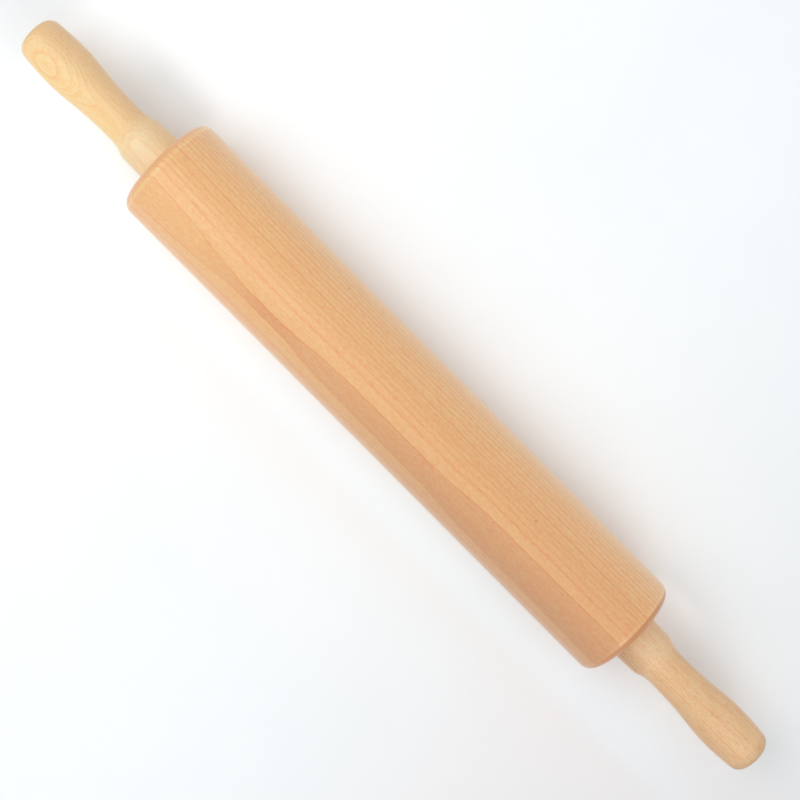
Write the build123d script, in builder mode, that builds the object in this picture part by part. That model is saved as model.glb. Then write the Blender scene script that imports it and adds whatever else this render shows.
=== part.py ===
from build123d import *
import os
from math import radians, tan

# A baker's rolling pin: a hardwood barrel that turns on two ball bearings,
# carried by one steel axle that joins a turned handle at each end.
# X runs along the pin, Z is up, and the origin lies under the barrel's middle,
# on the surface that the barrel rests on. All lengths are in millimetres.

# Barrel
barrel_diameter = 70.0
barrel_length = 398.0
barrel_end_rounding = 7.0
barrel_bore_diameter = 16.0
bearing_recess = 1.5  # how far each bearing sits below the barrel's end face

# Axle
axle_diameter = 8.0
axle_reach = 62.0  # how far the axle goes into each handle
axle_end_chamfer = 0.8

# Ball bearings, each as wide and as large as a common skate bearing
bearing_diameter = 22.0
bearing_width = 7.0
ball_count = 7
ring_chamfer = 0.3
ball_share = 0.567  # ball diameter, of the ring section from bore to outside
race_curve_share = 0.52  # groove radius, of the ball diameter
shoulder_share = 0.365  # from ball centre to the shoulder of either ring, of the ball diameter
ball_clearance = 0.02  # between a ball and the bottom of either groove
shield_thickness = 0.35
shield_setback = 0.25  # from the ring's face to the shield's rim
shield_dish = 0.3  # how far the shield's disc lies behind its rim
shield_seat_depth = 0.55  # how far the shield's rim is let into the outer ring
shield_running_gap = 0.2  # between the shield's inner edge and the inner ring

# Nylon cage, a crown that snaps over the balls from one side
cage_clearance = 0.55  # to the shoulders of both rings
pocket_clearance = 0.1
cage_back_share = 0.6  # from ball centre to the closed side, of the ball diameter
cage_front_share = 0.4  # from ball centre to the open side, of the ball diameter
claw_gap = 1.2  # width of the notch between two neighbouring claws
claw_depth_share = 0.45  # depth of that notch, of the cage's width

# Retaining clips and thrust washers, both no wider than the inner ring's face
clip_thickness = 0.7
clip_groove_depth = 1.0
clip_side_clearance = 0.04
clip_wall = 1.4
clip_lug_width = 1.8
clip_lug_angle = 115.0  # from the middle lug to either outer lug
clip_mouth_share = 0.85  # width of the clip's mouth, of the groove's diameter
seat_margin = 0.1  # from the inner ring's shoulder to the edge of what bears on it
washer_clearance = 0.15  # between the axle and the washer's hole

# Handles, turned to one outline
handle_gap = 1.0  # between barrel end and handle
handle_length = 108.1
collar_radius = 15.85
collar_length = 18.1
collar_taper = 0.6
collar_easing = 0.8
waist_radius = 12.55
belly_radius = 15.47
shoulder_length = 12.5  # from the collar's end to the waist
shoulder_turn_share = 0.22  # where the shoulder's curve changes from round to hollow
waist_length = 4.0
rise_length = 46.0  # from the waist to the fullest part of the belly
rise_turn_share = 0.68  # where that curve changes from hollow to round
belly_drop = 1.9  # how much the belly has fallen back where it meets the end
end_dome = 1.1
handle_end_rounding = 6.5

# Inserts and bores in the handles
insert_diameter = 12.0
insert_length = 22.0
flange_diameter = 16.0
flange_thickness = 1.5
driver_slot_width = 1.6
driver_slot_depth = 0.8
bore_clearance = 0.2
bore_end_space = 4.0  # left between the axle's end and the bottom of the bore
drill_point_angle = 118.0

overrun = 1.0  # how far a cut passes through what it cuts

# Sizes that follow from the ones above
axis_height = barrel_diameter / 2
axle_radius = axle_diameter / 2
bearing_radius = bearing_diameter / 2
ring_section = bearing_radius - axle_radius
pitch_radius = (bearing_radius + axle_radius) / 2
ball_diameter = ball_share * ring_section
ball_radius = ball_diameter / 2
race_radius = race_curve_share * ball_diameter
inner_shoulder_radius = pitch_radius - shoulder_share * ball_diameter
outer_shoulder_radius = pitch_radius + shoulder_share * ball_diameter
bearing_place = barrel_length / 2 - bearing_recess - bearing_width / 2
bearing_inner_face = bearing_place - bearing_width / 2
clip_groove_radius = axle_radius - clip_groove_depth
seat_radius = inner_shoulder_radius - seat_margin
handle_place = barrel_length / 2 + handle_gap
washer_thickness = bearing_recess + handle_gap
axle_length = 2 * (handle_place + axle_reach)

spin_axis = Axis((0, 0, axis_height), (1, 0, 0))
sides = (("left", -1), ("right", 1))


def section_plane(side, distance):
    """Lengthwise plane through the axle: x runs outwards from the given distance, y is the radius."""
    return Plane(origin=(side * distance, 0, axis_height), x_dir=(side, 0, 0), z_dir=(0, -side, 0))


def cross_plane(side, distance):
    """Plane square to the axle at the given distance, facing outwards, with its y upwards."""
    return Plane(origin=(side * distance, 0, axis_height), x_dir=(0, side, 0), z_dir=(side, 0, 0))


def ogee(start, end, turn_share):
    """Two tangent arcs that leave start level, turn over on the chord and reach end level."""
    turn = start + (end - start) * turn_share
    first = TangentArc(start, turn, tangent=(1, 0))
    return TangentArc(turn, end, tangent=first % 1)


def keep(name, part):
    """Names a finished piece and writes it."""
    part.label = name
    export_step(part, f"parts/{name}.step")


os.makedirs("parts", exist_ok=True)

# Barrel: a rounded cylinder, bored through for the axle and counterbored for the bearings
with BuildPart() as barrel:
    with BuildSketch(section_plane(1, 0)) as barrel_section:
        Rectangle(barrel_length, axis_height, align=(Align.CENTER, Align.MIN))
        fillet(barrel_section.vertices().group_by(Axis.Y)[-1], barrel_end_rounding)
        Rectangle(
            barrel_length + 2 * overrun,
            barrel_bore_diameter / 2,
            align=(Align.CENTER, Align.MIN),
            mode=Mode.SUBTRACT,
        )
        Rectangle(
            barrel_length + 2 * overrun,
            bearing_radius,
            align=(Align.CENTER, Align.MIN),
            mode=Mode.SUBTRACT,
        )
        with Locations((0, barrel_bore_diameter / 2)):
            Rectangle(
                2 * bearing_inner_face,
                bearing_radius - barrel_bore_diameter / 2,
                align=(Align.CENTER, Align.MIN),
            )
    revolve(axis=spin_axis)
keep("barrel", barrel.part)

# Axle: one rod with a groove for each retaining clip
with BuildPart() as axle:
    with BuildSketch(section_plane(1, 0)) as axle_section:
        Rectangle(axle_length, axle_radius, align=(Align.CENTER, Align.MIN))
        chamfer(axle_section.vertices().group_by(Axis.Y)[-1], axle_end_chamfer)
        for name, side in sides:
            with Locations((side * (bearing_inner_face - clip_thickness), clip_groove_radius)):
                Rectangle(
                    clip_thickness + clip_side_clearance,
                    clip_groove_depth + overrun,
                    align=(Align.MIN if side > 0 else Align.MAX, Align.MIN),
                    mode=Mode.SUBTRACT,
                )
    revolve(axis=spin_axis)
keep("axle", axle.part)

for name, side in sides:
    # Outer ring: a band with a ball groove inside and a seat for a shield at each face
    with BuildPart() as outer_ring:
        with BuildSketch(section_plane(side, bearing_place)) as outer_section:
            with Locations((0, outer_shoulder_radius)):
                Rectangle(
                    bearing_width,
                    bearing_radius - outer_shoulder_radius,
                    align=(Align.CENTER, Align.MIN),
                )
            chamfer(outer_section.vertices().group_by(Axis.Y)[-1], ring_chamfer)
            with Locations((0, pitch_radius + ball_radius + ball_clearance - race_radius)):
                Circle(race_radius, mode=Mode.SUBTRACT)
            shield_seat = shield_setback + shield_dish + shield_thickness
            for end in (-1, 1):
                with Locations((end * bearing_width / 2, outer_shoulder_radius - overrun)):
                    Rectangle(
                        2 * shield_seat,
                        shield_seat_depth + overrun,
                        align=(Align.CENTER, Align.MIN),
                        mode=Mode.SUBTRACT,
                    )
        revolve(axis=spin_axis)
    keep(f"{name}_bearing_outer_ring", outer_ring.part)

    # Inner ring: a band on the axle with a ball groove outside
    with BuildPart() as inner_ring:
        with BuildSketch(section_plane(side, bearing_place)) as inner_section:
            with Locations((0, axle_radius)):
                Rectangle(
                    bearing_width,
                    inner_shoulder_radius - axle_radius,
                    align=(Align.CENTER, Align.MIN),
                )
            chamfer(inner_section.vertices().group_by(Axis.Y)[0], ring_chamfer)
            with Locations((0, pitch_radius - ball_radius - ball_clearance + race_radius)):
                Circle(race_radius, mode=Mode.SUBTRACT)
        revolve(axis=spin_axis)
    keep(f"{name}_bearing_inner_ring", inner_ring.part)

    # Balls, evenly spaced on the pitch circle
    with BuildPart(cross_plane(side, bearing_place)) as balls:
        with PolarLocations(pitch_radius, ball_count):
            Sphere(ball_radius)
    keep(f"{name}_bearing_balls", balls.part)

    # Cage: a crown with a round pocket for each ball, open towards the barrel's middle
    cage_back = cage_back_share * ball_diameter
    cage_front = cage_front_share * ball_diameter
    cage_inner_radius = inner_shoulder_radius + cage_clearance
    cage_outer_radius = outer_shoulder_radius - cage_clearance
    claw_depth = claw_depth_share * (cage_back + cage_front)
    cage_plane = cross_plane(side, bearing_place - cage_front)
    with BuildPart(cage_plane) as cage:
        with BuildSketch(cage_plane):
            Circle(cage_outer_radius)
            Circle(cage_inner_radius, mode=Mode.SUBTRACT)
        extrude(amount=cage_back + cage_front)
        with BuildSketch(cage_plane):
            with PolarLocations(pitch_radius, ball_count, start_angle=180 / ball_count):
                Rectangle(cage_outer_radius, claw_gap)
        extrude(amount=claw_depth, mode=Mode.SUBTRACT)
        with Locations((0, 0, cage_front)):
            with PolarLocations(pitch_radius, ball_count):
                Cylinder(
                    ball_radius + pocket_clearance,
                    cage_outer_radius,
                    rotation=(0, 90, 0),
                    mode=Mode.SUBTRACT,
                )
    keep(f"{name}_bearing_cage", cage.part)

    # Shields: dished discs, pressed into the outer ring and clear of the inner one
    for face_name, end in (("inner", -1), ("outer", 1)):
        with BuildPart() as shield:
            rim_radius = outer_shoulder_radius + shield_seat_depth
            with BuildSketch(section_plane(side, bearing_place + end * bearing_width / 2)):
                with Locations((-end * shield_setback, rim_radius)):
                    Rectangle(
                        shield_thickness + shield_dish,
                        shield_thickness,
                        align=(Align.MAX if end > 0 else Align.MIN, Align.MAX),
                    )
                with Locations((-end * (shield_setback + shield_dish), rim_radius)):
                    Rectangle(
                        shield_thickness,
                        rim_radius - inner_shoulder_radius - shield_running_gap,
                        align=(Align.MAX if end > 0 else Align.MIN, Align.MAX),
                    )
            revolve(axis=spin_axis)
        keep(f"{name}_bearing_{face_name}_shield", shield.part)

    # Retaining clip: an open spring ring whose three lugs sit in the axle's groove
    clip_hole_radius = seat_radius - clip_wall
    with BuildPart() as clip:
        with BuildSketch(cross_plane(side, bearing_inner_face - clip_thickness)):
            Circle(seat_radius)
            Circle(clip_hole_radius, mode=Mode.SUBTRACT)
            with PolarLocations(0, 3, start_angle=90 - clip_lug_angle, angular_range=2 * clip_lug_angle):
                with Locations((clip_groove_radius, 0)):
                    Rectangle(
                        clip_hole_radius + clip_wall / 2 - clip_groove_radius,
                        clip_lug_width,
                        align=(Align.MIN, Align.CENTER),
                    )
            Rectangle(
                2 * clip_groove_radius * clip_mouth_share,
                seat_radius + overrun,
                align=(Align.CENTER, Align.MAX),
                mode=Mode.SUBTRACT,
            )
        extrude(amount=clip_thickness)
    keep(f"{name}_retaining_clip", clip.part)

    # Thrust washer: fills the space from the inner ring's face to the handle's insert
    with BuildPart() as washer:
        with BuildSketch(cross_plane(side, barrel_length / 2 - bearing_recess)):
            Circle(seat_radius)
            Circle(axle_radius + washer_clearance, mode=Mode.SUBTRACT)
        extrude(amount=washer_thickness)
    keep(f"{name}_thrust_washer", washer.part)

    # Handle insert: a flanged bush let into the handle's face, with a slot for the driver
    with BuildPart() as insert:
        with BuildSketch(section_plane(side, handle_place)):
            with Locations((0, axle_radius)):
                Rectangle(
                    insert_length,
                    insert_diameter / 2 - axle_radius,
                    align=(Align.MIN, Align.MIN),
                )
                Rectangle(
                    flange_thickness,
                    flange_diameter / 2 - axle_radius,
                    align=(Align.MIN, Align.MIN),
                )
        revolve(axis=spin_axis)
        with BuildSketch(cross_plane(side, handle_place)):
            Rectangle(driver_slot_width, flange_diameter + 2 * overrun)
        extrude(amount=driver_slot_depth, mode=Mode.SUBTRACT)
    keep(f"{name}_handle_insert", insert.part)

    # Handle: collar, hollow shoulder, waist and belly in one turned outline, bored from its face
    waist_start = Vector(collar_length + shoulder_length, waist_radius)
    waist_end = waist_start + Vector(waist_length, 0)
    belly = Vector(waist_end.X + rise_length, belly_radius)
    end_corner = Vector(handle_length - end_dome, belly_radius - belly_drop)
    bore_radius = axle_radius + bore_clearance
    bore_depth = axle_reach + bore_end_space
    drill_point = bore_radius / tan(radians(drill_point_angle / 2))
    with BuildPart() as handle:
        with BuildSketch(section_plane(side, handle_place)) as handle_section:
            with BuildLine():
                Line((0, 0), (0, collar_radius))
                collar_end = Vector(collar_length, collar_radius - collar_taper)
                Line((0, collar_radius), collar_end)
                ogee(collar_end, waist_start, shoulder_turn_share)
                Line(waist_start, waist_end)
                ogee(waist_end, belly, rise_turn_share)
                TangentArc(belly, end_corner, tangent=(1, 0))
                TangentArc((handle_length, 0), end_corner, tangent=(0, 1))
                Line((handle_length, 0), (0, 0))
            make_face()
            fillet(handle_section.vertices().sort_by(Axis.X)[-2], handle_end_rounding)
            fillet(
                handle_section.vertices().group_by(Axis.X)[0].sort_by(Axis.Y)[-1],
                collar_easing,
            )
            with BuildLine():
                Polyline(
                    (-overrun, 0),
                    (-overrun, bore_radius),
                    (bore_depth, bore_radius),
                    (bore_depth + drill_point, 0),
                    close=True,
                )
            make_face(mode=Mode.SUBTRACT)
            for length, radius in (
                (insert_length, insert_diameter / 2),
                (flange_thickness, flange_diameter / 2),
            ):
                Rectangle(length, radius, align=(Align.MIN, Align.MIN), mode=Mode.SUBTRACT)
        revolve(axis=spin_axis)
    keep(f"{name}_handle", handle.part)
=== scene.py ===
# %% [markdown]
# A baker's rolling pin lies on a white table: a thick hardwood barrel that turns on two ball
# bearings, and a slim turned handle at each end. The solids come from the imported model, so this
# script gives them their finishes, and adds the table, the light and the camera.
# A picture of wood wrapped round the pin would smear at its ends and show a seam. So each finish
# is worked out from patterns in space, and the lathe's cut shows the rings of the tree wherever
# it passes through them, as it does in a real turned pin.

from math import cos, radians, sin

import bpy
from mathutils import Matrix, Vector


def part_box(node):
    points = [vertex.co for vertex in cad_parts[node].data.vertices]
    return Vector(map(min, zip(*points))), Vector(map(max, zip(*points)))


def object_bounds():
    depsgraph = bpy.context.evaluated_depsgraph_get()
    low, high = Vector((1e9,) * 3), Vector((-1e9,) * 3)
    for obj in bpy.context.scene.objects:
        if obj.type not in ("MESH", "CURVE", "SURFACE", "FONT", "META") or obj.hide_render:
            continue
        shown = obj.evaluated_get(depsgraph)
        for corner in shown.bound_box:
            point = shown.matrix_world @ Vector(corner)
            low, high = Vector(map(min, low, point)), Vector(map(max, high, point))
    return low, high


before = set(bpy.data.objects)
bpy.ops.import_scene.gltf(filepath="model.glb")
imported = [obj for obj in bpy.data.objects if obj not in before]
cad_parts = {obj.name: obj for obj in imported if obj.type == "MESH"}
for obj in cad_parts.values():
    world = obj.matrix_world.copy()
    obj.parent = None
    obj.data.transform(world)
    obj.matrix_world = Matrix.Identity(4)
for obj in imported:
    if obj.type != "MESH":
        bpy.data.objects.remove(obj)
solid_low, solid_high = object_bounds()

# %% [markdown]
# Everything is placed from the pin's own size, which is measured here. It could be typed in again,
# but then it would go wrong as soon as the model changed. The barrel rests on the table, so the
# table lies at its lowest point, and the axis that everything turns about is the middle of its
# box. Blender counts in metres, but a turner thinks in millimetres, and so do the finishes.

# %% Measure the pin
to_millimetres = 1000.0
barrel_low, barrel_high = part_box("barrel")
axis_height = (barrel_low.z + barrel_high.z) / 2
barrel_radius = to_millimetres * (barrel_high.y - barrel_low.y) / 2
barrel_end = to_millimetres * barrel_high.x
table_height = solid_low.z
print("Barrel", round(2 * barrel_end, 1), "mm long and", round(barrel_radius, 1), "mm in radius")
print("Axis", round(to_millimetres * (axis_height - table_height), 1), "mm above the table")

# %% [markdown]
# The photograph was taken from almost straight above, through a long lens, and the pin lies from
# the upper left to the lower right. The camera leans a little towards the right-hand handle. It
# could be turned by three angles, but three directions say more plainly where the pin lies in
# the picture: where the camera looks, what is to its right, and what is above.

# %% Place the camera
camera_place = Vector((-0.0318, 0.0005, 1.025))
camera_lean = radians(1.93)
picture_turn = radians(45.19)
camera_lens = 73.88

looking = Vector((sin(camera_lean), 0, -cos(camera_lean)))
rightwards = Vector((cos(picture_turn), sin(picture_turn), 0))
rightwards = (rightwards - looking * rightwards.dot(looking)).normalized()
upwards = rightwards.cross(looking)

camera = bpy.data.objects.new("camera", bpy.data.cameras.new("camera"))
camera.data.lens = camera_lens
directions = Matrix((rightwards, upwards, -looking)).transposed().to_4x4()
camera.matrix_world = Matrix.Translation(camera_place) @ directions
bpy.context.scene.collection.objects.link(camera)
bpy.context.scene.camera = camera
bpy.context.scene.view_settings.view_transform = "Standard"
print("Camera", round(camera_place.z, 3), "m up, leaning", round(camera_lean, 3), "radians")

# %% [markdown]
# The renderer works with amounts of light, but a maker matches a colour by eye, as a screen shows
# it, from 0 to 255. So colours are written that way here, and the curve that all screens share
# turns them into light.

# %% Write a colour
def colour(red, green, blue):
    """The amounts of light of a colour that is given as a screen shows it."""
    shares = [value / 255 for value in (red, green, blue)]
    return [s / 12.92 if s <= 0.04045 else ((s + 0.055) / 1.055) ** 2.4 for s in shares] + [1.0]


print("A screen's 188 is", round(colour(188, 188, 188)[0], 2), "of full light")

# %% [markdown]
# A finish is a tree of nodes, and making and linking nodes one by one takes long scripts. So the
# tree that is being made lies on a bench, and each small helper adds one node to it and hands back
# what comes out. A finish then reads like a sum.

# %% Begin a finish
def begin(name, owner=None):
    """Clears the bench for a new finish, and hands back the material it will belong to."""
    global bench
    owner = owner or bpy.data.materials.new(name)
    owner.use_nodes = True
    bench = owner.node_tree
    bench.nodes.clear()
    return owner


def add(kind, **settings):
    """Lays one more node on the bench."""
    node = bench.nodes.new(kind)
    for name, value in settings.items():
        setattr(node, name, value)
    return node


def join(value, socket):
    """Sets a socket to a plain value, or links it to what another helper gave."""
    if isinstance(value, bpy.types.NodeSocket):
        bench.links.new(value, socket)
    else:
        socket.default_value = value


print("Tools at the bench:", [helper.__name__ for helper in (begin, add, join)])

# %% [markdown]
# Most of a finish is arithmetic on single values, and these helpers are its four kinds of sum. One
# long formula in a script node would do the same, but nodes show in Blender's editor, where each
# step can be looked at and changed.

# %% Sums
def maths(operation, *values):
    """One sum, by the name that Blender gives it."""
    node = add("ShaderNodeMath", operation=operation)
    for value, socket in zip(values, node.inputs):
        join(value, socket)
    return node.outputs[0]


def plus(first, *others):
    for other in others:
        first = maths("ADD", first, other)
    return first


def times(first, *others):
    for other in others:
        first = maths("MULTIPLY", first, other)
    return first


def minus(first, second):
    return maths("SUBTRACT", first, second)


def over(first, second):
    return maths("DIVIDE", first, second)


print("Sums:", [helper.__name__ for helper in (plus, times, minus, over)])

# %% [markdown]
# Few marks on wood have a hard edge, so most of them begin and end in a fade, which runs smoothly
# from one value to another while something else goes from start to end. A mark with two edges is
# one fade up times another down. A colour ramp would do the same with stops to be set by hand.

# %% Fades
def fade(value, start, end, low=0.0, high=1.0):
    """Runs smoothly from low to high as the value goes from start to end."""
    node = add("ShaderNodeMapRange", interpolation_type="SMOOTHSTEP")
    names = ("Value", "From Min", "From Max", "To Min", "To Max")
    for given, name in zip((value, start, end, low, high), names):
        join(given, node.inputs[name])
    return node.outputs["Result"]


def between(value, start, full, last, end):
    """Rises from 0 at the start to 1 when full, stays until the last, and falls to 0 at the end."""
    return times(fade(value, start, full), fade(value, end, last))


print("Edges of marks:", [helper.__name__ for helper in (fade, between)])

# %% [markdown]
# A place is a set of three values, in millimetres from the middle of the pin's axis: along the
# pin, across it and up. It could be read from the world, but then the pattern would stay behind
# when the barrel turns. So it is read from the piece's own coordinates.

# %% Places
def vectors(operation, *values):
    """One sum on sets of three values."""
    node = add("ShaderNodeVectorMath", operation=operation)
    for value, socket in zip(values, node.inputs):
        join(value, socket)
    gives_one = operation in ("DOT_PRODUCT", "LENGTH", "DISTANCE")
    return node.outputs["Value" if gives_one else "Vector"]


def pin_place():
    """The place in the piece, in millimetres from the middle of the pin's axis."""
    place = add("ShaderNodeTexCoord").outputs["Object"]
    to_axis = (0, 0, -to_millimetres * axis_height)
    return vectors("MULTIPLY_ADD", place, (to_millimetres,) * 3, to_axis)


def parts(vector):
    """The three values of a vector: along the pin, across it and up."""
    node = add("ShaderNodeSeparateXYZ")
    join(vector, node.inputs[0])
    return node.outputs[0], node.outputs[1], node.outputs[2]


print("Places are measured from", round(to_millimetres * axis_height, 1), "mm up")

# %% [markdown]
# Wood's colour varies in green and blue much more than in red, which is why its lines look warm
# and not grey. So a mark is seldom painted over the wood: it is a stain that takes away a share of
# each of the three, as real resins and oils do.

# %% Colours
def blend(share, first, second):
    """The first colour at a share of 0, the second at 1."""
    node = add("ShaderNodeMix", data_type="RGBA")
    for value, name in ((share, "Factor_Float"), (first, "A_Color"), (second, "B_Color")):
        join(value, next(s for s in node.inputs if s.identifier == name))
    return next(s for s in node.outputs if s.identifier == "Result_Color")


def shaded(base, share):
    """A colour made lighter or darker by a share."""
    node = add("ShaderNodeVectorMath", operation="SCALE")
    join(base, node.inputs[0])
    join(share, node.inputs["Scale"])
    return node.outputs["Vector"]


def stained(base, *stains):
    """A colour after stains. Each has a share, and leaves so much of red, green and blue."""
    for share, left_over in stains:
        taken = [left - 1 for left in left_over]
        base = vectors("MULTIPLY", base, vectors("MULTIPLY_ADD", share, taken, (1, 1, 1)))
    return base


print("Ways to change a colour:", [helper.__name__ for helper in (blend, shaded, stained)])

# %% [markdown]
# Nothing in wood or metal is even, so most patterns start as clouds. Stretched along the pin they
# make fibres and streaks, and squeezed they make a tool's fine marks. Where a mark has a shape of
# its own that no cloud would give, a smooth line is drawn through listed points.

# %% Patterns
def clouds(place, size, detail=2.0, roughness=0.5):
    """Cloudy values from 0 to 1. The size is one cloud's, in millimetres along each axis."""
    node = add("ShaderNodeTexNoise")
    join(vectors("DIVIDE", place, size), node.inputs["Vector"])
    node.inputs["Scale"].default_value = 1.0
    node.inputs["Detail"].default_value = detail
    node.inputs["Roughness"].default_value = roughness
    return node.outputs["Fac"]


def swing(value, amount):
    """Values that lie round a half become values round nothing, of about that amount."""
    return times(minus(value, 0.5), 2 * amount)


def follow(value, points):
    """A smooth line through listed points, each given from 0 to 1 both ways."""
    node = add("ShaderNodeFloatCurve")
    line = node.mapping.curves[0]
    line.points[0].location, line.points[1].location = points[0], points[-1]
    for point in points[1:-1]:
        line.points.new(*point)
    node.mapping.update()
    join(value, node.inputs["Value"])
    return node.outputs["Value"]


print("Patterns:", [helper.__name__ for helper in (clouds, swing, follow)])

# %% [markdown]
# Every finish ends in one shader. How rough it is decides how sharp the reflections are. Fine
# dents and ridges could be cut into the mesh, but that would take millions of faces, so they are
# a height in millimetres that only tilts the light and leaves the piece's shape alone.

# %% End a finish
metres_per_height = 0.001


def close(owner, base, roughness, height=None, **constants):
    """Joins what was worked out to the shader, and sets what is the same all over by its name."""
    shader = add("ShaderNodeBsdfPrincipled")
    join(base, shader.inputs["Base Color"])
    join(roughness, shader.inputs["Roughness"])
    for name, value in constants.items():
        shader.inputs[name.replace("_", " ")].default_value = value
    if height is not None:
        bump = add("ShaderNodeBump")
        bump.inputs["Distance"].default_value = metres_per_height
        join(height, bump.inputs["Height"])
        join(bump.outputs["Normal"], shader.inputs["Normal"])
    join(shader.outputs[0], add("ShaderNodeOutputMaterial").inputs["Surface"])
    print(owner.name, "is made of", len(bench.nodes), "nodes")


print("A height of 1 stands", to_millimetres * metres_per_height, "mm proud")

# %% [markdown]
# A camera that is set for pale wood makes white paper brighter than it is. Lamps strong enough for
# that would bleach the wood. Blender can tell which rays come from the camera, a mirror or glass,
# so the paper and the room get one look for those, and another for the light they throw back.

# %% Choose what is seen
def as_seen(seen, unseen):
    """One shader for what the camera and mirrors see, and another for all other light."""
    rays = add("ShaderNodeLightPath").outputs
    share = maths("MAXIMUM", rays["Is Camera Ray"], rays["Is Glossy Ray"])
    share = maths("MAXIMUM", share, rays["Is Transmission Ray"])
    choice = add("ShaderNodeMixShader")
    join(share, choice.inputs[0])
    join(unseen.outputs[0], choice.inputs[1])
    join(seen.outputs[0], choice.inputs[2])
    return choice.outputs[0]


print("A surface can look one way and light the pin another:", as_seen.__name__)

# %% [markdown]
# The table is a sheet of white paper. A plain white background would be simpler, but only a real
# surface takes the pin's soft shadow. It runs far past the picture, and faint clouds of pulp keep
# it from being perfectly even.

# %% Lay the table
table_size = 12.0

bpy.ops.mesh.primitive_grid_add(size=table_size, location=(0, 0, table_height))
table = bpy.context.object
table.name = "table"

white_paper = begin("white_paper")
table.data.materials.append(white_paper)
place = pin_place()
pulp = clouds(place, (40, 40, 40), detail=4)
paper_colour = blend(pulp, colour(246, 246, 247), colour(249, 249, 249))
paper = add("ShaderNodeBsdfDiffuse")
join(paper_colour, paper.inputs["Color"])
print("Table", round(to_millimetres * table_height, 2), "mm up,", table_size, "m wide")

# %% [markdown]
# How bright the paper looks is faded after the photograph, since no lamp reaches one patch
# of it alone. It gets darker to the right and on the near side. The shadow beside the left
# handle's waist is deeper, and the one beside the right handle's collar paler, than two soft lamps
# make them, and the paper round the left tip is a little darker.

# %% Set how bright the paper looks
left_shade, right_glow, tip_shade = -0.15, 0.18, -0.1

along, across = parts(place)[:2]
right_level = fade(across, -20, 40, 0.80, 0.86)
light_fall = times(fade(across, -180, 60, 0.95, 1), fade(along, -200, 0, 1.04, 1))
light_fall = times(light_fall, fade(along, 0, 420, 1, right_level))
left_patch = times(between(along, -285, -238, -212, -185), left_shade)
right_patch = times(between(along, 190, 205, 208, 250), fade(across, 46, 34), right_glow)
patches = times(between(across, 0, 12, 36, 56), plus(left_patch, right_patch))
tip_patch = times(fade(along, -296, -318), between(across, -50, -10, 20, 60), tip_shade)
light_fall = times(light_fall, plus(patches, 1), plus(tip_patch, 1))
print("Paper by the left waist", left_shade, "and by the right collar", right_glow)

# %% [markdown]
# Beside the barrel the wood's warm glow tints the paper more than it does in the photograph, so
# the near strip is painted cooler, to take back some of that bounced light, and the paper below the
# right-hand end is painted a touch warmer, as painted warm light. Outside the picture the paper
# fades into plain white light, so that from the side it has no edge.

# %% Tint the paper and let it end in white
seen_gain = (1.16, 1.19, 1.19)
painted_cool_light, painted_warm_light = (1.0, 1.07, 1.11), (1.04, 1, 0.99)
white_from, white_at = 350, 750

from_middle = maths("ABSOLUTE", along)
near_strip = times(between(across, -72, -50, -18, 4), fade(from_middle, 250, 350, 1, 0))
right_end = times(fade(along, 120, 220), fade(across, 10, -20))
seen_colour = vectors("MULTIPLY", paper_colour, seen_gain)
# painted light: a cooler near strip against the wood's bounced glow, and warmer light below the
# right-hand end
seen_colour = stained(seen_colour, (near_strip, painted_cool_light), (right_end, painted_warm_light))
seen_paper = add("ShaderNodeBsdfDiffuse")
join(shaded(seen_colour, light_fall), seen_paper.inputs["Color"])

far_white = add("ShaderNodeEmission")
far_white.inputs["Color"].default_value = colour(255, 255, 255)
seen_table = add("ShaderNodeMixShader")
far_off = plus(from_middle, maths("ABSOLUTE", across))
join(fade(far_off, white_from, white_at), seen_table.inputs[0])
join(seen_paper.outputs[0], seen_table.inputs[1])
join(far_white.outputs[0], seen_table.inputs[2])
join(as_seen(seen_table, paper), add("ShaderNodeOutputMaterial").inputs["Surface"])
print("white_paper is made of", len(bench.nodes), "nodes, and ends", white_at, "mm off in white")

# %% [markdown]
# The shadows show how the pin was lit. They are faint, so most of the light came from all round,
# as in a white tent. A tent could be built of walls that shine, but a pale world lights the pin in
# the same way and shows no corners in its gloss.

# %% Paint the room
dome_level = 0.67

world = bpy.data.worlds.new("white_room")
bpy.context.scene.world = world
begin("white_room", world)
dome = add("ShaderNodeBackground")
dome.inputs["Color"].default_value = colour(250, 252, 255)
dome.inputs["Strength"].default_value = dome_level
seen_room = add("ShaderNodeBackground")
seen_room.inputs["Color"].default_value = colour(255, 255, 255)
join(as_seen(seen_room, dome), add("ShaderNodeOutputWorld").inputs["Surface"])
print("The room gives light of", dome_level, "and looks white")

# %% [markdown]
# The shadows fall to the upper right, and lean towards the middle of the pin from both of its
# ends, which one lamp can't do. So there are two wide soft lamps: a high one past the left-hand
# end, and a lower one past the right-hand end. Each is given by the way to it, how high it stands,
# how far off it is and how wide it looks, because those are what a shadow shows.

# %% Hang the lamps
def soft_lamp(name, way, height_angle, distance, width, power):
    """A square lamp that faces the pin. The way to it is counted from the right-hand handle."""
    lamp = bpy.data.objects.new(name, bpy.data.lights.new(name, "AREA"))
    way, height_angle = radians(way), radians(height_angle)
    level = cos(height_angle)
    to_lamp = Vector((level * cos(way), level * sin(way), sin(height_angle)))
    lamp.data.size = width
    lamp.data.energy = power
    lamp.location = distance * to_lamp
    lamp.rotation_euler = (-to_lamp).to_track_quat("-Z", "Y").to_euler()
    bpy.context.scene.collection.objects.link(lamp)
    print(name, "at", [round(value, 2) for value in lamp.location], "m")


soft_lamp("left_lamp", way=-147, height_angle=60, distance=1.0, width=0.75, power=2.5)
soft_lamp("right_lamp", way=-20, height_angle=37, distance=2.4, width=1.4, power=9.5)

# %% [markdown]
# A tree adds one ring a year. Where the lathe's cut runs along a ring it shows wide figures, and a
# quarter turn further it runs straight through the rings and shows fine lines. Blender's wave
# texture makes rings too, but all alike. So the rings are laid out in space: one direction points
# out of the tree, and the depth under the outermost ring is counted off in years.

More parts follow.
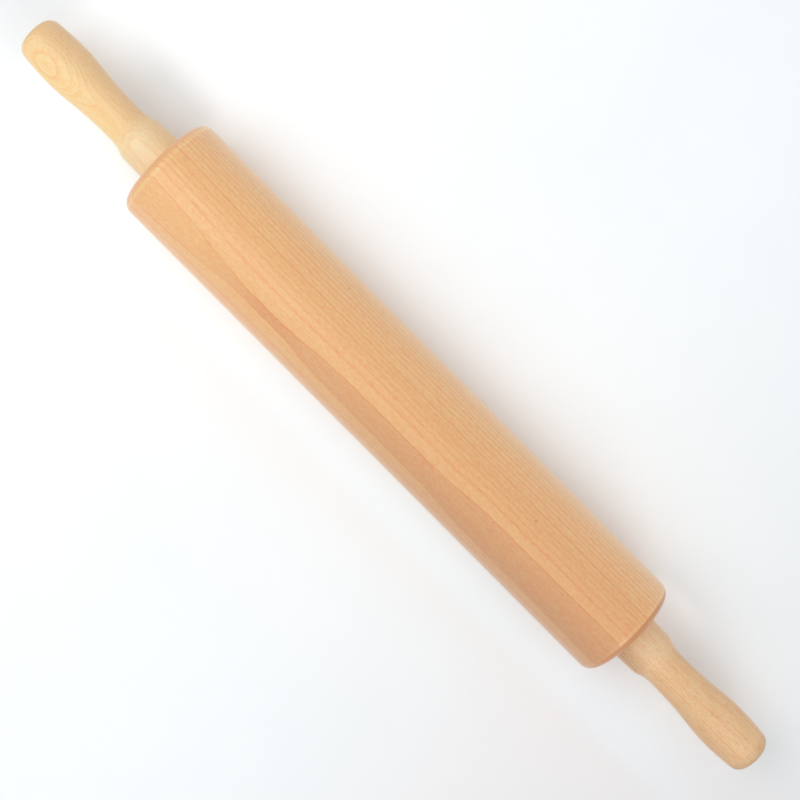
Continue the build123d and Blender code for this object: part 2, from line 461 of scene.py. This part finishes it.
# %% Count the years
def count_years(depth, year_ends, most_years):
    """The years that lie above this depth, from the depths at which some of the years end."""
    first, last = year_ends[0][0], year_ends[-1][0]
    steps = [((end - first) / (last - first), year / most_years) for end, year in year_ends]
    return times(follow(over(minus(depth, first), last - first), steps), most_years)


def chance(number, seed):
    """The same even chance, from 0 to 1, wherever the whole number is the same."""
    node = add("ShaderNodeTexWhiteNoise", noise_dimensions="1D")
    join(plus(number, seed), node.inputs["W"])
    return node.outputs["Value"]


def year_lines(years, faintest, strongest, seed):
    """A line at the end of each year: sharp on its outer side, and soft on its inner side."""
    profile = [(0, 1), (0.1, 0.75), (0.28, 0.3), (0.55, 0.08), (0.85, 0.1), (1, 0.6)]
    line = follow(maths("FRACT", years), profile)
    return times(line, fade(chance(maths("FLOOR", years), seed), 0, 1, faintest, strongest))


print("Rings:", [helper.__name__ for helper in (count_years, chance, year_lines)])

# %% [markdown]
# Finer than the rings are the fibres, which run along the pin, and the rays, thin plates that
# cross them and that the lathe cuts into short flecks. They could be drawn one by one, but clouds
# of the right size and stretch look the same. All three woods share them, and the soft gloss. The
# last helper tells the ends from the sides, since end grain looks darker than the rest.

# %% Fibres, flecks and gloss
fibre_size, fibre_shade = (6, 0.22, 0.22), (0.965, 1.035)
gloss_patch, gloss_change = (10, 1, 1), 0.05


def with_fibres(tone, place):
    """The tone with its fibres in it, and the fibres alone."""
    fibres = clouds(place, fibre_size, detail=3, roughness=0.7)
    return shaded(tone, fade(fibres, 0.25, 0.75, *fibre_shade)), fibres


def ray_flecks(place, length, start, full):
    """Flecks of this length, from where the clouds pass the start to where they are full."""
    return fade(clouds(place, (length, 0.9, 0.9), detail=3, roughness=0.6), start, full)


def rubbed(place, level):
    """How rough wood is after sanding and a thin finish: almost the same all over."""
    return plus(swing(clouds(place, gloss_patch, detail=3), gloss_change), level)


def end_facing():
    """How squarely the surface faces along the pin, from 0 on its side to 1 on its end."""
    normal = add("ShaderNodeTexCoord").outputs["Normal"]
    return maths("ABSOLUTE", parts(normal)[0])


print("Fibres are", fibre_size[1], "mm wide and", fibre_size[0], "mm long")

# %% [markdown]
# The barrel is a reddish hardwood such as maple or cherry. The way out of the tree leans 34.5
# degrees from upright, and so the outermost ring comes to the surface on the near side, as a long
# flat lens. The eye follows the rim of that lens, so it isn't left to chance, but rises and sinks
# along the barrel as in the photograph. A slow sway and a fine fray keep the rings from being
# quite flat, but less near the surface, where a small shift moves the lens a long way.

# %% Lay out the barrel's rings
barrel_wood = begin("barrel_wood")
place = pin_place()
along, across = parts(place)[:2]
tree_tilt = radians(34.5)
outwards = vectors("DOT_PRODUCT", place, (0, -sin(tree_tilt), cos(tree_tilt)))

lowest_rim, rim_rise = 33.0, 2.0
rim_bend = [(0, 0.1), (0.03, 0.2), (0.1, 0.46), (0.157, 0.74), (0.186, 0.84), (0.225, 0.9)]
rim_bend += [(0.3, 0.91), (0.325, 0.9), (0.36, 0.76), (0.41, 0.67), (0.5, 0.6), (0.61, 0.58)]
rim_bend += [(0.72, 0.2), (0.82, 0.15), (1, 0)]
share_along = plus(over(along, 2 * barrel_end), 0.5)
rim = plus(times(follow(share_along, rim_bend), rim_rise), lowest_rim)
depth = minus(rim, outwards)
sway = swing(clouds(place, (25, 14, 14)), 0.5)
fray = swing(clouds(place, (3.5, 1.8, 1.8), detail=3), 0.16)
depth = plus(depth, times(plus(sway, fray), fade(depth, -2, 8, 0.12, 1.0)))
print("The lens's rim lies from", lowest_rim, "to", lowest_rim + rim_rise, "mm out")

# %% [markdown]
# The lines on the far side are the ends of years, and their places in the photograph say how deep
# each year goes. Past the eighth, the years grow wider inwards. How strong a line is changes by
# chance from year to year, and the seed is the one whose strong years fall where the photograph
# has them. The line round the lens and one other strong one are added one by one.

# %% Draw the barrel's lines
year_ends = ((0, 0), (2.6, 1), (5, 2), (9.4, 4), (13.5, 6), (17.9, 8))
year_ends += ((23.8, 10), (33, 13), (41, 15), (72, 21))
years_per_lens_depth = 0.3
barrel_seed, strong_year = 2828.5, 6.06
narrowest_rim, rim_spread = 0.04, 0.09

years = count_years(depth, year_ends, most_years=28.0)
years = plus(years, times(maths("MINIMUM", depth, 0), years_per_lens_depth))
lines = year_lines(years, faintest=0.2, strongest=1.0, seed=barrel_seed)
lines = times(lines, fade(years, 0, 1.65))
rim_width = plus(times(minus(barrel_radius, rim), rim_spread), narrowest_rim)
rim_line = fade(maths("ABSOLUTE", minus(depth, 0.02)), 0, rim_width, 0.8, 0)
strong_line = fade(maths("ABSOLUTE", minus(years, strong_year)), 0.03, 0.2, 0.9, 0)
lines = maths("MAXIMUM", lines, maths("MAXIMUM", rim_line, strong_line))
print("The first", year_ends[4][1], "years fill", year_ends[4][0], "mm under the rim")

# %% [markdown]
# The ground colour is painted brighter to the left and paler on the far side, and its near side is
# painted darker towards the right: painted light and shade on top of what the lamps give. On top
# of it come the stains: the lens and its narrow neck, the yearly lines, the rays' flecks, and
# streaks.

# %% Colour the barrel
lens = times(fade(depth, 0.05, -0.02), fade(along, -160, -95, 0.15, 1.0))
neck = times(lens, between(along, -112, -98, -74, -60))
flecks = ray_flecks(place, length=3.2, start=0.36, full=0.68)
streaks = fade(clouds(place, (45, 1.2, 1.2), detail=4, roughness=0.6), 0.35, 0.7)
near_shade = fade(along, -180, 120, 0, 0.2)

# painted light and shade: brighter to the left, paler on the far side, darker on the near side
tone = blend(fade(along, -200, 200), colour(244, 197, 134), colour(233, 183, 124))
tone = blend(fade(across, 5, 34), tone, colour(250, 211, 154))
tone = shaded(tone, minus(1, times(fade(across, -6, -32), near_shade)))
tone = stained(
    tone,
    (lens, (0.92, 0.84, 0.87)),
    (neck, (0.98, 0.9, 0.88)),
    (lines, (0.96, 0.64, 0.52)),
    (flecks, (0.985, 0.82, 0.73)),
    (streaks, (0.99, 0.92, 0.89)),
)
tone, fibres = with_fibres(tone, place)
print("The barrel's colour has", len(bench.nodes), "nodes so far")

# %% [markdown]
# The next marks are what happened to this piece of wood. Three small pores and a rubbed spot show
# in the photograph, and they are put at their own places. Random marks alone would miss those, but
# they do for the sides that it doesn't show, so a few random pores are added all round.

# %% Mark the barrel
def spot(place, along, across, size):
    """1 at the middle of a round mark on the top of the barrel, and 0 from its edge on."""
    centre = (along, across, (barrel_radius**2 - across**2) ** 0.5)
    return fade(vectors("DISTANCE", place, centre), 0, size, 1, 0)


pore_brown, rubbed_brown = colour(170, 112, 84), colour(196, 150, 124)
seen_marks = [
    (-66.7, 25.4, 1.3, 0.5, pore_brown),
    (92.8, -15.4, 0.9, 0.7, pore_brown),
    (106.7, 7.1, 1.4, 0.6, pore_brown),
    (-186, 11, 3.5, 0.25, rubbed_brown),
]
pore_gap, pore_size = 22, 0.02

for spot_along, spot_across, size, strength, brown in seen_marks:
    mark = spot(place, spot_along, spot_across, size)
    tone = blend(times(mark, strength), tone, brown)
pore = add("ShaderNodeTexVoronoi")
join(vectors("DIVIDE", place, (pore_gap,) * 3), pore.inputs["Vector"])
pore.inputs["Scale"].default_value = 1.0
pores = fade(pore.outputs["Distance"], pore_size, 0.0)
tone = blend(times(pores, 0.6), tone, colour(176, 118, 84))
print(len(seen_marks), "marks are placed by hand, and random ones about", pore_gap, "mm apart")

# %% [markdown]
# At the rounded ends the lathe cuts across the fibres, which soak up more oil and look more
# orange, behind a narrow ridge that hands have rubbed pale and that carries a painted highlight,
# strongest at the left-hand end. The right-hand end and its wider band are painted darker still:
# painted shade, where that end faces away from the lamps. Smoother wood would give the oil's soft
# gloss too, but it would take the colour's softness away. So the gloss is a thin coat over it, and
# fine sanded fuzz makes the flanks a little whiter.

# %% Oil the barrel
facing = end_facing()
# painted highlight on the rubbed ridge, strongest at the left-hand end
ridge = times(between(facing, 0.02, 0.16, 0.3, 0.45), fade(along, -150, 150, 1, 0.4))
tone = stained(tone, (ridge, (1.04, 1.13, 1.15)))
# painted shade: the right-hand end is darker where it faces away from the lamps
to_right = fade(along, -20, 20)
end_start = fade(along, -20, 20, 0.45, 0.28)
end_grain_and_shade = blend(to_right, colour(240, 176, 116), colour(204, 133, 70))
tone = blend(fade(facing, end_start, plus(end_start, 0.2)), tone, end_grain_and_shade)
height = minus(times(fibres, 0.12), times(lines, 0.008))
oil_gloss = {"Coat_Weight": 0.8, "Coat_Roughness": 0.3}
sanded_fuzz = {"Sheen_Weight": 0.12, "Sheen_Roughness": 0.4}
close(barrel_wood, tone, rubbed(place, 0.46), height, **oil_gloss, **sanded_fuzz)

# %% [markdown]
# The handles are a paler, yellower wood such as birch. In the left one the rings lie almost flat
# under the belly's near side, so the lathe has cut them into a nest of ovals, and towards the
# waist into pointed flames. Ovals could be drawn on the surface, but they would not run on round
# it. So the rings themselves sink away to both sides of the nest, towards the tip and towards the
# collar, and the way out of the tree turns slowly along the handle.

# %% Lay out the left handle's rings
left_handle_wood = begin("left_handle_wood")
place = pin_place()
along, across, up = parts(place)
belly_radius, nest_place, deepest_sinking = 15.47, -288, 5.3

turn = fade(along, -285, -222, radians(34), radians(17))
outwards = minus(times(up, maths("COSINE", turn)), times(across, maths("SINE", turn)))
from_nest = maths("ABSOLUTE", minus(along, nest_place))
depth = plus(minus(belly_radius, outwards), fade(from_nest, 0, 35, 0, deepest_sinking))
sway = swing(clouds(place, (12, 6, 6)), 0.6)
fray = swing(clouds(place, (3, 1.6, 1.6), detail=3), 0.2)
sway = times(sway, fade(depth, 0, 4, 0.08, 1.0))
fray = times(fray, fade(depth, 0, 4, 0.4, 1.0))
depth = plus(depth, sway, fray)

year_ends = ((-0.5, 0), (1.1, 1), (3.8, 2), (5.8, 3), (7.7, 4), (9.6, 5), (35.5, 18))
years = count_years(depth, year_ends, most_years=20.0)
print("Four years fill the first", year_ends[4][0], "mm under the belly")

# %% [markdown]
# The left handle is the yellowest piece. Its collar is painted paler, as painted light where the
# barrel's end shades it, and the handle is painted darker on the far side and a little lighter on
# the near side, as painted shade and light. Its lines are softer than the barrel's, and weaker from
# the waist to the collar.
# The wood just under each line is a little browner, as a tree's late growth is. A picture of birch
# would have its ovals in other places. Both handles end darker, since an end cut across its fibres
# drinks more lacquer.

# %% Colour the left handle
handle_seed = 2.0
end_from, end_full = 0.5, 0.92
lacquer = {"Coat_Weight": 0.3, "Coat_Roughness": 0.35}

oval_strength = fade(along, -275, -248, 0.64, 0.34)
lines = year_lines(years, faintest=0.5, strongest=1.0, seed=handle_seed)
lines = times(lines, oval_strength, fade(across, 0, 8, 1, 0.6))
late_wood = fade(maths("FRACT", years), 0.9, 0.3)
flecks = ray_flecks(place, length=3, start=0.38, full=0.7)
collar_painted_light = times(fade(along, -232, -214), fade(across, 0, 12, 1, 0.5))

tone = blend(clouds(place, (50, 9, 9)), colour(249, 216, 154), colour(253, 226, 168))
# painted shade: darker on the far side
tone = blend(fade(across, -8, 10), tone, colour(242, 207, 155))
# painted light: a little lighter on the near side
tone = shaded(tone, fade(across, -5, -13, 1, 1.05))
# painted light: the collar is paler where the barrel's end shades it
tone = blend(collar_painted_light, tone, colour(254, 232, 186))
tone = stained(
    tone,
    (lines, (0.99, 0.72, 0.6)),
    (late_wood, (0.995, 0.96, 0.92)),
    (flecks, (0.99, 0.88, 0.82)),
)
tone, fibres = with_fibres(tone, place)
at_end = times(fade(end_facing(), end_from, end_full), 0.6)
tone = blend(at_end, tone, colour(232, 178, 118))
close(left_handle_wood, tone, rubbed(place, 0.45), times(fibres, 0.1), **lacquer)

# %% [markdown]
# The right handle was cut a quarter turn round in the log. It could have the left one's rings
# turned, but its years are so even that a fixed gap between them does as well. They stand nearly
# upright and lean a little along the handle, so they show as straight fine lines.

# %% Lay out the right handle's rings
right_handle_wood = begin("right_handle_wood")
place = pin_place()
along, across = parts(place)[:2]
tree_tilt = radians(78)
lean_along, first_ring, ring_gap = 0.012, 30, 1.6

outwards = vectors("DOT_PRODUCT", place, (lean_along, -sin(tree_tilt), cos(tree_tilt)))
sway = swing(clouds(place, (35, 6, 6)), 0.7)
fray = swing(clouds(place, (5, 1.6, 1.6), detail=3), 0.22)
years = over(plus(minus(first_ring, outwards), sway, fray), ring_gap)
print("The right handle has a ring every", ring_gap, "mm")

# %% [markdown]
# It is a little darker than the left one, with some warmer streaks, and with short brown dashes
# where pores were cut open lengthwise. The lamps could be moved to shade it as the photograph does,
# but that would spoil the barrel. So its own colour does it: the top of the collar is paler, and
# the near side, most of all the collar's, and the tip are darker.

# %% Colour the right handle
lines = year_lines(years, faintest=0.25, strongest=1.0, seed=handle_seed)
lines = times(lines, fade(along, 230, 262, 0.95, 0.65))
streaks = fade(clouds(place, (26, 1.8, 1.8), detail=3, roughness=0.55), 0.45, 0.72)
flecks = ray_flecks(place, length=3, start=0.38, full=0.7)
dashes = fade(clouds(place, (3.4, 0.5, 0.5), detail=2, roughness=0.5), 0.6, 0.74)
collar_painted_light = times(fade(along, 214, 228, 1, 0), fade(across, -12, -2))
collar_shade = times(fade(along, 226, 214), fade(across, 0, -12), 0.1)

tone = blend(clouds(place, (50, 9, 9)), colour(237, 197, 146), colour(242, 206, 158))
tone = blend(collar_painted_light, tone, colour(244, 214, 170))
tone = shaded(tone, fade(across, -3, -14, 1, 0.85))
tone = shaded(tone, minus(1, collar_shade))
tone = stained(
    tone,
    (lines, (0.93, 0.72, 0.62)),
    (streaks, (0.97, 0.85, 0.74)),
    (flecks, (0.98, 0.86, 0.81)),
    (dashes, (0.85, 0.7, 0.62)),
)
tone, fibres = with_fibres(tone, place)
at_end = times(fade(end_facing(), end_from, end_full), 0.7)
tone = blend(at_end, tone, colour(226, 166, 106))
tone = shaded(tone, fade(along, 297, 307, 1, 0.78))
close(right_handle_wood, tone, rubbed(place, 0.45), times(fibres, 0.1), **lacquer)

# %% [markdown]
# The working parts are hidden inside, but they are finished too, since the pin may be taken apart.
# Nearly all of them were turned or ground while spinning, so their marks run in rings about the
# axis. Clouds that depend on the distance along the axis and from it, and hardly on the angle,
# give such marks on the faces and on the rims alike.

# %% Marks of a lathe or grinder
def spun(place, along_size, outward_size, round_size):
    """Clouds drawn out into rings about the axis, and the distance from the axis."""
    along, across, up = parts(place)
    flat = add("ShaderNodeCombineXYZ")
    join(across, flat.inputs[1])
    join(up, flat.inputs[2])
    radius = vectors("LENGTH", flat.outputs[0])
    around = vectors("DIVIDE", vectors("NORMALIZE", flat.outputs[0]), (round_size,) * 3)
    ring = add("ShaderNodeCombineXYZ")
    join(over(along, along_size), ring.inputs[0])
    join(over(radius, outward_size), ring.inputs[1])
    ring_place = vectors("ADD", ring.outputs[0], around)
    return clouds(ring_place, (1, 1, 1), detail=3, roughness=0.6), radius


print("Marks that run round the axis:", spun.__name__)

# %% [markdown]
# The axle is a rod of bright steel, ground to size between centres. It could be a plain grey
# mirror, but the wheel leaves rings too fine to feel. Pushing the bearings on has left a few long
# scratches, and a film of oil has dulled it in patches.

# %% Grind the axle
axle_steel = begin("axle_steel")
place = pin_place()
rings = spun(place, along_size=0.12, outward_size=0.15, round_size=2.0)[0]
scratches = fade(clouds(place, (30, 0.12, 0.12), detail=1, roughness=0.4), 0.7, 0.78)
oil = fade(clouds(place, (14, 5, 5), detail=3), 0.45, 0.65)
tone = blend(rings, colour(176, 178, 181), colour(196, 197, 199))
tone = blend(times(oil, 0.35), tone, colour(164, 158, 146))
tone = blend(times(scratches, 0.5), tone, colour(222, 223, 224))
roughness = plus(times(rings, 0.12), times(oil, 0.12), 0.16)
height = plus(times(rings, 0.004), times(scratches, -0.004))
close(axle_steel, tone, roughness, height, Metallic=1.0)

# %% [markdown]
# The bearing rings are hardened steel. Their faces and rims are ground, and the grooves for the
# balls are honed until they shine. Each face could have a finish of its own, but the grooves all
# lie near one circle, so the distance from the axis is enough to tell them apart.

# %% Harden the bearing rings
ball_circle, groove_half, groove_edge = 7.5, 1.3, 0.9
bearing_steel = begin("bearing_steel")
rings, radius = spun(pin_place(), along_size=0.1, outward_size=0.1, round_size=3.0)
from_circle = maths("ABSOLUTE", minus(radius, ball_circle))
groove = fade(from_circle, groove_half, groove_half + groove_edge, 1, 0)
tone = blend(rings, colour(186, 187, 190), colour(204, 205, 208))
tone = blend(times(groove, 0.5), tone, colour(212, 211, 208))
roughness = plus(times(rings, 0.14), times(groove, -0.1), 0.2)
close(bearing_steel, tone, roughness, times(rings, 0.003), Metallic=1.0)

# %% [markdown]
# The balls are the same steel, tumbled to a mirror. Their marks don't run about the pin's axis,
# since a ball rolls every way, so they get hairlines instead of rings, and a thin film of grease.

# %% Tumble the balls
ball_steel = begin("ball_steel")
place = pin_place()
grease = fade(clouds(place, (1.6, 1.6, 1.6), detail=3), 0.45, 0.7)
hairlines = fade(clouds(place, (0.9, 0.05, 0.05), detail=2), 0.68, 0.76)
tone = blend(times(grease, 0.5), colour(214, 215, 218), colour(190, 183, 168))
roughness = plus(times(grease, 0.16), times(hairlines, 0.1), 0.05)
close(ball_steel, tone, roughness, times(hairlines, -0.002), Metallic=1.0)

# %% [markdown]
# The cages are moulded in black nylon with chopped glass in it. Plain black would look like paint.
# The glass shows as tiny pale threads just under a satin skin, and the mould has given it a fine
# pebbled feel.

# %% Mould the cages
cage_nylon = begin("cage_nylon")
place = pin_place()
glass = fade(clouds(place, (0.5, 0.06, 0.06), detail=2, roughness=0.5), 0.66, 0.78)
pebble = clouds(place, (0.12, 0.12, 0.12), detail=2)
tone = blend(clouds(place, (3, 3, 3)), colour(30, 30, 33), colour(42, 42, 45))
tone = blend(times(glass, 0.4), tone, colour(92, 92, 94))
roughness = plus(times(pebble, 0.2), 0.42)
close(cage_nylon, tone, roughness, times(pebble, 0.02))

# %% [markdown]
# The shields are thin steel sheet pressed to a dish, and then zinc-plated. They could share the
# bearing's ground steel, but the press draws wider, fainter rings in them, and the plating has a
# warm bloom in places.

# %% Press the shields
shield_steel = begin("shield_steel")
place = pin_place()
rings = spun(place, along_size=0.5, outward_size=0.18, round_size=1.5)[0]
bloom = fade(clouds(place, (4, 4, 4), detail=3), 0.4, 0.7)
tone = blend(rings, colour(184, 186, 188), colour(202, 203, 204))
tone = blend(times(bloom, 0.4), tone, colour(196, 186, 158))
roughness = plus(times(rings, 0.14), times(bloom, 0.1), 0.26)
close(shield_steel, tone, roughness, times(rings, 0.006), Metallic=1.0)

# %% [markdown]
# The inserts are brass bar turned on a lathe. The tool's feed leaves even ridges a fifth of a
# millimetre apart. Clouds can't be that even, so the ridges are a wave that runs along the axis
# and outwards. Brass tarnishes brown where fingers and glue have touched it.

# %% Turn the brass inserts
full_turn, tool_feed = 6.2832, 0.2
insert_brass = begin("insert_brass")
place = pin_place()
rings, radius = spun(place, along_size=0.1, outward_size=0.1, round_size=3.0)
feed = times(plus(parts(place)[0], radius), full_turn / tool_feed)
ridges = plus(times(maths("SINE", feed), 0.5), 0.5)
tarnish = fade(clouds(place, (3, 3, 3), detail=4), 0.42, 0.7)
tone = blend(rings, colour(206, 168, 92), colour(222, 186, 112))
tone = blend(times(tarnish, 0.6), tone, colour(156, 116, 66))
roughness = plus(times(rings, 0.12), times(tarnish, 0.2), 0.2)
close(insert_brass, tone, roughness, times(ridges, 0.01), Metallic=1.0)

# %% [markdown]
# The washers are natural nylon, off-white and waxy. A plain pale plastic would look like card, so
# light is let a little way into them. They were parted off a bar on a lathe, and the inner rim has
# rubbed grey against the axle.

# %% Part off the washers
washer_nylon = begin("washer_nylon")
place = pin_place()
rings, radius = spun(place, along_size=0.3, outward_size=0.16, round_size=2.0)
grey_rim = fade(radius, 4.9, 4.2)
tone = blend(clouds(place, (4, 4, 4)), colour(226, 223, 210), colour(236, 233, 222))
tone = blend(times(grey_rim, 0.45), tone, colour(186, 183, 176))
roughness = plus(times(rings, 0.15), 0.4)
waxy = {"Subsurface_Weight": 0.2, "Subsurface_Scale": 0.001, "Subsurface_Radius": (1.0, 0.9, 0.75)}
close(washer_nylon, tone, roughness, times(rings, 0.008), **waxy)

# %% [markdown]
# The clips are spring steel, stamped and then dipped in phosphate, which gives a matt charcoal
# coat of tiny crystals. Black paint would be smoother. Where the inner edge has snapped over the
# axle the coat is scratched to bare metal.

# %% Stamp the clips
clip_steel = begin("clip_steel")
place = pin_place()
rings, radius = spun(place, along_size=0.3, outward_size=0.3, round_size=0.8)
crystals = clouds(place, (0.08, 0.08, 0.08), detail=3, roughness=0.7)
worn = times(fade(radius, 4.1, 3.3), fade(rings, 0.4, 0.6))
tone = blend(crystals, colour(38, 38, 40), colour(62, 61, 60))
tone = blend(times(worn, 0.7), tone, colour(150, 150, 152))
roughness = minus(plus(times(crystals, 0.25), 0.45), times(worn, 0.2))
close(clip_steel, tone, roughness, times(crystals, 0.02), Metallic=0.6)

# %% [markdown]
# Each piece takes the finish of what it is made of. The pieces could be named one by one, but
# their names end in what they are, so a short list does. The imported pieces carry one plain
# material each, and the new finish takes its place in the same slot.

# %% Dress every piece
finish_of = {
    "barrel": barrel_wood,
    "left_handle": left_handle_wood,
    "right_handle": right_handle_wood,
    "axle": axle_steel,
    "outer_ring": bearing_steel,
    "inner_ring": bearing_steel,
    "balls": ball_steel,
    "cage": cage_nylon,
    "shield": shield_steel,
    "insert": insert_brass,
    "washer": washer_nylon,
    "clip": clip_steel,
}
for name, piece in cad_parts.items():
    kind = name if name in finish_of else next(k for k in finish_of if name.endswith(k))
    piece.data.materials[0] = finish_of[kind]
    print(name, "is", finish_of[kind].name)
